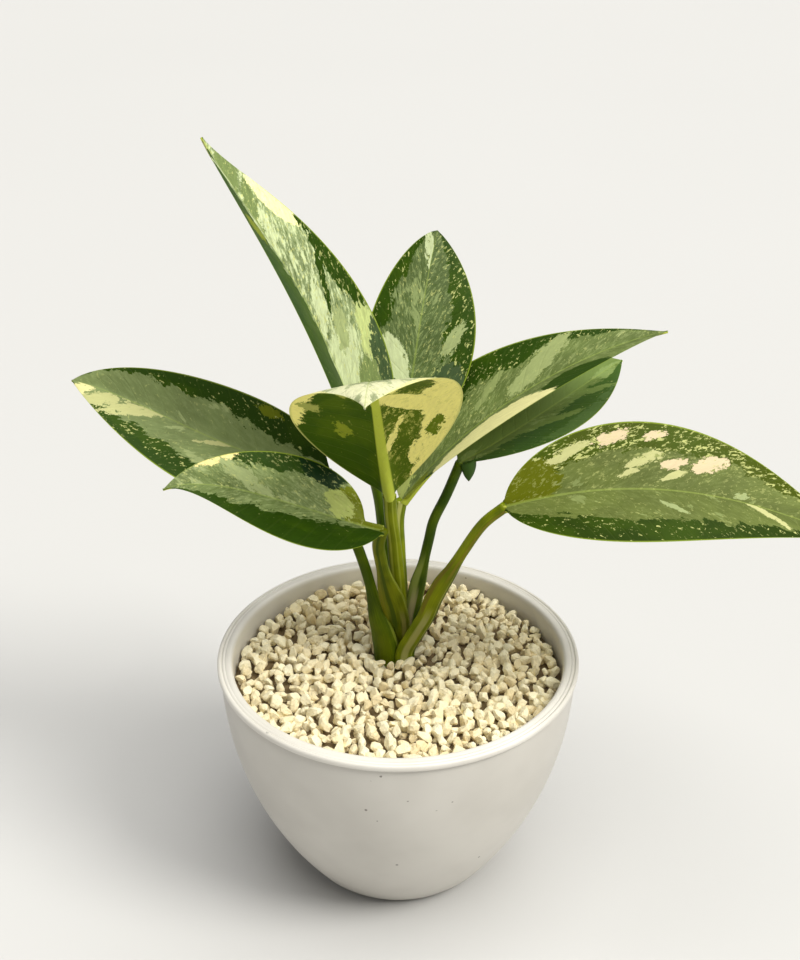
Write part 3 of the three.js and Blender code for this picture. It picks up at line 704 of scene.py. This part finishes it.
def granule_finish():
    look = Look("cream_stone_granules")
    places = look.where("Object")
    tone = look.attribute("tone")
    spot = look.mottle(places, 900.0, 3.0, 0.6)
    grain = look.mottle(places, 260.0, 3.0, 0.65)
    colour = look.colour(look.step(tone, 0.0, 0.2), STONE_TAN, STONE_CREAM)
    colour = look.colour(look.step(tone, 0.2, 1.0), colour, STONE_WHITE)
    # On the bed, where the tone is -1, the colour is painted shade for the gaps between the
    # granules.
    colour = look.colour(look.step(tone, -0.9, -0.1), STONE_GAP_SHADE, colour)
    colour = look.colour(look.times(look.step(grain, 0.5, 0.75), 0.3), colour, STONE_GRAIN)
    colour = look.colour(look.times(look.step(spot, 0.62, 0.72), 0.25), colour, STONE_SPOT)
    colour = look.colour(look.spots(places, [DARK_GRAIN], 0.8), colour, STONE_DARK)
    look.set(Base_Color=colour, Roughness=0.86)
    rough = look.mottle(places, 620.0, 4.0, 0.7)
    look.bump(look.times_plus(grain, 0.6, look.times(rough, 0.9)), 0.0011, 0.9)
    return look.material


def glaze_finish():
    look = Look("pale_grey_glaze")
    places = look.where("Object")
    x, y, z = look.split(places)
    cloud = look.mottle(places, 22.0, 3.0, 0.55)
    colour = look.colour(look.step(cloud, 0.3, 0.7), GLAZE_DARK, GLAZE_LIGHT)

    # Painted light: the lip and the top of the wall inside it are drawn a little lighter than the
    # rest of the glaze, standing in for the light they catch.
    lip = look.step(z, (LIP_FOOT - 0.3) * MM, (LIP_FOOT + 0.2) * MM)
    spread = look.times_plus(x, x, look.times(y, y))
    outside = look.step(spread, ((LIP_RADIUS - 4.0) * MM) ** 2, ((LIP_RADIUS - 3.6) * MM) ** 2)
    inner = look.times(look.inverse(outside),
                         look.step(z, (LIP_FOOT - 7.0) * MM, (LIP_FOOT - 6.0) * MM))
    painted_light = look.times(look.calc("MAXIMUM", lip, inner), LIP_PAINTED_LIGHT)
    colour = look.brighten(colour, painted_light)

    rare = look.mottle(places, 330.0, 1.0, 0.4)
    where_specks = look.mottle(places, 75.0, 1.0, 0.4)
    speck = look.times(look.step(rare, 0.78, 0.81), look.step(where_specks, 0.5, 0.6))
    speck = look.calc("MAXIMUM", speck, look.spots(places, GLAZE_SPECKS, 0.65))
    colour = look.colour(look.times(speck, 0.8), colour, GLAZE_SPECK)
    rings = look.mottle(look.place(0.0, 0.0, z), 1400.0, 2.0)
    look.set(Base_Color=colour, Roughness=look.times_plus(cloud, 0.14, 0.30))
    look.bump(look.times_plus(rings, 0.5, cloud), 0.00025, 0.35)
    return look.material


def mix_finish():
    look = Look("potting_mix_crumb")
    crumb = look.mottle(look.where("Object"), 420.0, 4.0, 0.7)
    colour = look.colour(look.step(crumb, 0.35, 0.7), MIX_DARK, MIX_LIGHT)
    look.set(Base_Color=colour, Roughness=0.95)
    look.bump(crumb, 0.002, 1.0)
    return look.material


def stem_finish():
    look = Look("stem_rind")
    rings = look.mottle(look.where("Object"), 300.0, 3.0)
    look.set(Base_Color=look.colour(rings, STEM_DARK, STEM_LIGHT), Roughness=0.6)
    look.bump(rings, 0.0005, 0.5)
    return look.material


def floor_finish():
    look = Look("pale_studio_floor")
    cloud = look.mottle(look.where("Object"), 1.5, 2.0)
    look.set(Base_Color=look.colour(cloud, FLOOR_DARK, FLOOR_LIGHT), Roughness=0.7)
    return look.material


# Leaf shapes

def curve_point(points, t):
    a = 1 - t
    p = [Vector(point) for point in points]
    return a ** 3 * p[0] + 3 * a * a * t * p[1] + 3 * a * t * t * p[2] + t ** 3 * p[3]


def curve_direction(points, t):
    a = 1 - t
    p = [Vector(point) for point in points]
    way = a * a * (p[1] - p[0]) + 2 * a * t * (p[2] - p[1]) + t * t * (p[3] - p[2])
    return way.normalized()


def curve_length(points):
    spots = [curve_point(points, i / 20) for i in range(21)]
    return sum((b - a).length for a, b in zip(spots, spots[1:]))


def outline_share(blade, t, k):
    """The half width of side k at t along the blade, as a share of its widest."""
    a, b = blade["outline"][k]
    bare = blade["bare"][k]
    widest = a / (a + b)
    t = (t - bare) / (1 - bare)
    return (max(t, 0.0) / widest) ** a * (max(1 - t, 0.0) / (1 - widest)) ** b


def blade_spot(blade, t, s, upper):
    """A point of a blade's upper side or underside at t along it and s across it."""
    point = curve_point(blade["midrib"], t)
    along = curve_direction(blade["midrib"], t)
    face = Vector(blade["faces"][0]) * (1 - t) + Vector(blade["faces"][1]) * t
    side = along.cross(face).normalized()
    up = side.cross(along)
    k = 0 if s < 0 else 1
    sign = -1 if s < 0 else 1
    share = outline_share(blade, t, k)
    width = max(blend(BASE_HALF_WIDTH, TIP_HALF_WIDTH, t), blade["width"][k] * share)
    fold = math.radians(blend(blade["folds"][0][k], blade["folds"][1][k], t))
    out = abs(s) * width
    # The fold is round at the midrib, and each half arches a little between there and its margin.
    rounding = FOLD_ROUNDING * (1 - math.exp(-out / FOLD_ROUNDING)) * (1 - abs(s))
    rise = math.sin(fold) * (out - rounding)
    rise += HALF_ARCH * share * (abs(s) - s * s)
    point = point + side * (sign * out * math.cos(fold)) + up * rise
    normal = (up * math.cos(fold) - side * (sign * math.sin(fold))).normalized()
    vein = (t * blade["length"] - VEIN_SLANT * out) / VEIN_SPACING
    ridge = (0.5 + 0.5 * math.cos(2 * math.pi * (vein - 0.25))) ** 6
    quilt = ridge * min(1.0, out / 5) * min(1.0, 4 * (1 - abs(s))) * min(1, share * 2)
    # Both sides meet in one line at the margin.
    inner = 1 - abs(s) ** 6
    thick = BLADE_HALF_THICKNESS * (1 - abs(s) ** 5)
    if upper:
        groove = GROOVE_DEPTH * math.exp(-(out / GROOVE_HALF_WIDTH) ** 2) * (1 - t) ** 0.7 * inner
        return point + normal * (thick - groove - UPPER_QUILT * quilt)
    depth = KEEL_AT_TIP + KEEL_RISE * (1 - t) ** 1.1
    keel = depth * math.exp(-(out / blend(*KEEL_HALF_WIDTHS, t)) ** 2) * inner
    return point - normal * (thick + keel + LOWER_QUILT * quilt)


def petiole_path(points, t):
    """A point on a smooth line through the given points, evenly by their number."""
    p = [Vector(point) for point in points]
    p = [2 * p[0] - p[1], *p, 2 * p[-1] - p[-2]]
    place = min(t, 0.999999) * (len(points) - 1)
    i = int(place)
    u = place - i
    a, b, c, d = p[i:i + 4]
    return 0.5 * (2 * b + (c - a) * u + (2 * a - 5 * b + 4 * c - d) * u * u
                  + (3 * b - a - 3 * c + d) * u ** 3)


def petiole_spot(number, t, angle):
    """A point of a petiole's skin at t along it and at an angle round it."""
    petiole = PETIOLES[number]
    base, second = (Vector(point) for point in BLADES[number]["midrib"][:2])
    foot = Vector(petiole["line"][0])
    foot.z = PETIOLE_FOOT_Z
    points = [foot, *petiole["line"], base + (second - base).normalized() * PETIOLE_INTO_BLADE]
    point = petiole_path(points, t)
    before = petiole_path(points, max(0, t - 0.01))
    along = (petiole_path(points, min(1, t + 0.01)) - before).normalized()
    low, high = petiole["sheath"]
    share = ease((point.z - low) / (high - low))
    wide = blend(*petiole["wide"], share)
    thick = blend(*petiole["thick"], share)
    out = Vector((*petiole["out"], 0))
    across = along.cross(out).normalized()
    outward = across.cross(along).normalized()
    curl = petiole["curl"] * (1 - share)
    y = thick * math.sin(angle) - curl * wide * math.cos(angle) ** 2
    if math.sin(angle) < 0:
        # The sheath is hollow on its inner side.
        y += (1 - share) * 0.7 * thick * abs(math.sin(angle)) ** 0.5
    return point + across * (wide * math.cos(angle)) + outward * y


# Pieces

def mesh_of(name, bm):
    mesh = bpy.data.meshes.new(name)
    bm.to_mesh(mesh)
    bm.free()
    return mesh


def add_object(name, data):
    thing = bpy.data.objects.new(name, data)
    bpy.context.scene.collection.objects.link(thing)
    return thing


def finish_piece(name, bm, materials, replaced, smooth=True):
    """Turns a bmesh in millimetres into a piece of the part."""
    bmesh.ops.scale(bm, vec=(MM, MM, MM), verts=bm.verts)
    mesh = mesh_of(name, bm)
    for material in materials:
        mesh.materials.append(material)
    mesh.polygons.foreach_set("use_smooth", [smooth] * len(mesh.polygons))
    piece = add_object(name, mesh)
    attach(piece, "root")
    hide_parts(replaced)
    return piece


def close_and_tidy(bm):
    bmesh.ops.remove_doubles(bm, verts=bm.verts, dist=0.004)
    rims = [edge for edge in bm.edges if edge.is_boundary]
    if rims:
        bmesh.ops.holes_fill(bm, edges=rims, sides=0)
    bmesh.ops.recalc_face_normals(bm, faces=bm.faces)


def make_blade(number):
    """Bends a grid round a blade: one half of it is the upper side and the other the underside."""
    blade = BLADES[number]
    bm = bmesh.new()
    bmesh.ops.create_grid(bm, x_segments=2 * BLADE_COLUMNS, y_segments=BLADE_ROWS, size=1)
    uv_layer = bm.loops.layers.uv.new("UVMap")
    spots = {}
    for face in bm.faces:
        upper = face.calc_center_median().x < 0
        face.material_index = 0 if upper else 1
        for loop in face.loops:
            x, y, _ = loop.vert.co
            s = 2 * x + 1 if x <= 0 else 1 - 2 * x
            t = (y + 1) / 2
            t = 0.5 * (t + (1 - math.cos(math.pi * t)) / 2)
            loop[uv_layer].uv = (t, (s + 1) / 2)
            spots[loop.vert] = (t, s, x <= 0)
    for vert, (t, s, upper) in spots.items():
        vert.co = blade_spot(blade, t, s, upper)
    if number == EARED_LEAF:
        add_curled_ear(bm, uv_layer)
    close_and_tidy(bm)
    for edge in bm.edges:
        if len({face.material_index for face in edge.link_faces}) == 2:
            edge.smooth = False
    materials = [upper_leaf_finish(number), lower_leaf_finish(number)]
    return finish_piece("leaf_%d_blade" % number, bm, materials,
                        "blade_%d" % number)


def add_curled_ear(bm, uv_layer):
    """The small lobe that rolls back under the base of a blade."""
    made = bmesh.ops.create_grid(bm, x_segments=10, y_segments=12, size=1)
    faces = list({face for vert in made["verts"] for face in vert.link_faces})
    for face in faces:
        face.material_index = 0
    for vert in made["verts"]:
        x, y, _ = vert.co
        down = (1 - y) / 2
        roll = blend(*EAR_ROLL, (x + 1) / 2)
        reach = EAR_RADIUS * math.sin(math.pi * blend(0.42, 0.97, down)) ** 0.7
        vert.co = EAR_TOP + Vector((reach * math.sin(roll) + 1.2 * down,
                                    -reach * math.cos(roll), -EAR_LENGTH * down + 1.3 * x))
    made = bmesh.ops.solidify(bm, geom=faces, thickness=EAR_THICKNESS)
    skins = set(faces) | {item for item in made["geom"] if isinstance(item, bmesh.types.BMFace)}
    for face in skins:
        for loop in face.loops:
            loop[uv_layer].uv = EAR_UV


def make_petiole(number):
    bm = bmesh.new()
    bmesh.ops.create_grid(bm, x_segments=PETIOLE_SIDES, y_segments=PETIOLE_ROWS, size=1)
    uv_layer = bm.loops.layers.uv.new("UVMap")
    for face in bm.faces:
        for loop in face.loops:
            x, y, _ = loop.vert.co
            loop[uv_layer].uv = ((y + 1) / 2, (x + 1) / 2)
    for vert in bm.verts:
        x, y, _ = vert.co
        vert.co = petiole_spot(number, (y + 1) / 2, math.pi * x)
    close_and_tidy(bm)
    return finish_piece("leaf_%d_petiole" % number, bm, [petiole_finish(number)],
                        "petiole_%d" % number)


def bowl_radius(z):
    share = max(0.0, 1 - z / POT_HEIGHT) ** BOWL_CURVE
    return blend(FOOT_RADIUS, SHOULDER_RADIUS, 1 - share)


def make_pot():
    outline = list(FOOT_OUTLINE)
    for i in range(1, BOWL_ROWS + 1):
        z = (LIP_FOOT - 0.9) * i / BOWL_ROWS
        outline.append((bowl_radius(z), z))
    outline += [(LIP_RADIUS - inset, LIP_FOOT + rise) for inset, rise in LIP_SIDE]
    outline += [(LIP_RADIUS - inset, POT_HEIGHT - drop) for inset, drop in LIP_CROWN]
    for i in range(INSIDE_ROWS):
        z = blend(POT_HEIGHT - 2, FLOOR, i / (INSIDE_ROWS - 1))
        outline.append((bowl_radius(z) - WALL, z))
    outline.append((0, FLOOR))
    bm = bmesh.new()
    verts = [bm.verts.new((r, 0, z)) for r, z in outline]
    edges = [bm.edges.new(pair) for pair in zip(verts, verts[1:])]
    bmesh.ops.spin(bm, geom=verts + edges, cent=(0, 0, 0), axis=(0, 0, 1), angle=2 * math.pi,
                   steps=POT_TURN_STEPS, use_merge=True)
    bmesh.ops.remove_doubles(bm, verts=bm.verts, dist=0.003)
    bmesh.ops.recalc_face_normals(bm, faces=bm.faces)
    return finish_piece("bowl_pot", bm, [glaze_finish()], "pot")


def granule_shapes(rng):
    """A few stone shapes: round balls cut by flats at random turns."""
    shapes = []
    for _ in range(GRANULE_SHAPES):
        bm = bmesh.new()
        bmesh.ops.create_icosphere(bm, subdivisions=2, radius=1)
        for _ in range(GRANULE_CUTS):
            way = Vector((rng.gauss(0, 1), rng.gauss(0, 1), rng.gauss(0, 1))).normalized()
            depth = rng.uniform(0.45, 0.8)
            for vert in bm.verts:
                over = vert.co.dot(way) - depth
                if over > 0:
                    vert.co -= way * over
        for vert in bm.verts:
            vert.co *= rng.uniform(0.94, 1.06)
        stretch = (rng.uniform(1.0, 1.75), rng.uniform(0.9, 1.2), rng.uniform(0.8, 1.1))
        bmesh.ops.scale(bm, vec=stretch, verts=bm.verts)
        shapes.append(mesh_of("granule_shape", bm))
    return shapes


def granule_places(rng):
    """Centres of granules: an under layer and a top layer, each spread evenly at random."""
    places = []
    for low, high, gap, tries in GRANULE_LAYERS:
        layer = []
        cells = {}
        for _ in range(tries):
            radius = GRANULE_REACH * math.sqrt(rng.random())
            angle = rng.uniform(0, 2 * math.pi)
            x, y = radius * math.cos(angle), radius * math.sin(angle)
            cell = (int(x // gap), int(y // gap))
            near = [p for i in (-1, 0, 1) for j in (-1, 0, 1)
                    for p in cells.get((cell[0] + i, cell[1] + j), ())]
            if any(math.hypot(x - a, y - b) < gap for a, b in near) or in_crown(x, y):
                continue
            cells.setdefault(cell, []).append((x, y))
            swell = noise.noise(Vector((x / 18, y / 18, 3.0)))
            layer.append((x, y, rng.uniform(low, high) + 0.8 * swell))
        places += layer
    return places


def in_crown(x, y):
    """True where the foot of a petiole stands."""
    for petiole in PETIOLES.values():
        foot = Vector(petiole["line"][0])
        out = Vector((*petiole["out"], 0)).normalized()
        across = Vector((-out.y, out.x, 0))
        way = Vector((x, y, 0)) - Vector((foot.x, foot.y, 0))
        if (way.dot(across) / (petiole["wide"][0] + 1.0)) ** 2 + (way.dot(out) / 2.8) ** 2 < 1:
            return True
    return False


def make_dressing():
    """A thin bed with the granules on it, each a copy of one of the shapes."""
    rng = random.Random(GRANULE_SEED)
    shapes = granule_shapes(rng)
    bm = bmesh.new()
    bmesh.ops.create_circle(bm, cap_ends=True, radius=SHOULDER_RADIUS - WALL - 0.4, segments=96)
    bmesh.ops.translate(bm, vec=(0, 0, BED_BASE), verts=bm.verts)
    made = bmesh.ops.extrude_face_region(bm, geom=list(bm.faces))
    top = [item for item in made["geom"] if isinstance(item, bmesh.types.BMVert)]
    bmesh.ops.translate(bm, vec=(0, 0, BED_THICKNESS), verts=top)
    bmesh.ops.recalc_face_normals(bm, faces=bm.faces)
    # The bed's tone of -1 gives it the painted shade of the gaps.
    tones = [-1.0] * len(bm.verts)
    for x, y, z in granule_places(rng):
        shape = rng.choice(shapes)
        size = GRANULE_SIZE * rng.uniform(0.72, 1.16)
        turn = Euler([rng.uniform(0, 6.28) for _ in range(3)]).to_matrix().to_4x4()
        place = Matrix.Translation((x, y, z)) @ turn @ Matrix.Scale(size, 4)
        shape.transform(place)
        bm.from_mesh(shape)
        shape.transform(place.inverted())
        tones += [rng.random()] * len(shape.vertices)
    for shape in shapes:
        bpy.data.meshes.remove(shape)
    piece = finish_piece("dressing_granules", bm, [granule_finish()],
                         "top_dressing", False)
    layer = piece.data.attributes.new("tone", "FLOAT", "POINT")
    layer.data.foreach_set("value", tones)
    return piece


# Stage, lights and camera

def lay_floor():
    bm = bmesh.new()
    bmesh.ops.create_grid(bm, x_segments=2, y_segments=2, size=FLOOR_REACH)
    mesh = mesh_of("studio_floor", bm)
    mesh.materials.append(floor_finish())
    add_object("studio_floor", mesh)


def hang_light(name, place, spread, power, colour):
    """A wide, far softbox that shines from the given place towards the plant."""
    data = bpy.data.lights.new(name, "SUN")
    data.angle = math.radians(spread)
    data.energy = power
    data.color = colour
    light = add_object(name, data)
    light.location = place
    light.rotation_euler = (-Vector(place)).to_track_quat("-Z", "Y").to_euler()


def light_studio():
    world = bpy.data.worlds.new("soft_room")
    world.use_nodes = True
    tree = world.node_tree
    background = tree.nodes["Background"]
    background.inputs["Color"].default_value = (1.0, 1.0, 1.0, 1.0)
    # The room lights the plant dimly, and is seen as a pale wall behind the floor.
    seen = tree.nodes.new("ShaderNodeLightPath").outputs["Is Camera Ray"]
    strength = tree.nodes.new("ShaderNodeMapRange")
    strength.inputs["To Min"].default_value = ROOM_LIGHT
    strength.inputs["To Max"].default_value = WALL_BRIGHTNESS
    tree.links.new(seen, strength.inputs["Value"])
    tree.links.new(strength.outputs["Result"], background.inputs["Strength"])
    bpy.context.scene.world = world
    for softbox in SOFTBOXES:
        hang_light(*softbox)


def set_camera():
    data = bpy.data.cameras.new("front_camera")
    data.lens = CAMERA_LENS
    data.sensor_width = SENSOR_WIDTH
    data.clip_start = 0.01
    camera = add_object("front_camera", data)
    camera.location = CAMERA_PLACE
    camera.rotation_euler = (math.radians(90 - CAMERA_PITCH), 0, 0)
    bpy.context.scene.camera = camera


bpy.context.scene.view_settings.view_transform = "Standard"
set_camera()
light_studio()
lay_floor()
for leaf, shape in BLADES.items():
    shape.setdefault("bare", (0, 0))
    shape["length"] = curve_length(shape["midrib"])
    make_blade(leaf)
    make_petiole(leaf)
make_pot()
make_dressing()
for node, material in (("potting_mix", mix_finish()), ("stem", stem_finish())):
    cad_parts[node].data.materials.clear()
    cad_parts[node].data.materials.append(material)
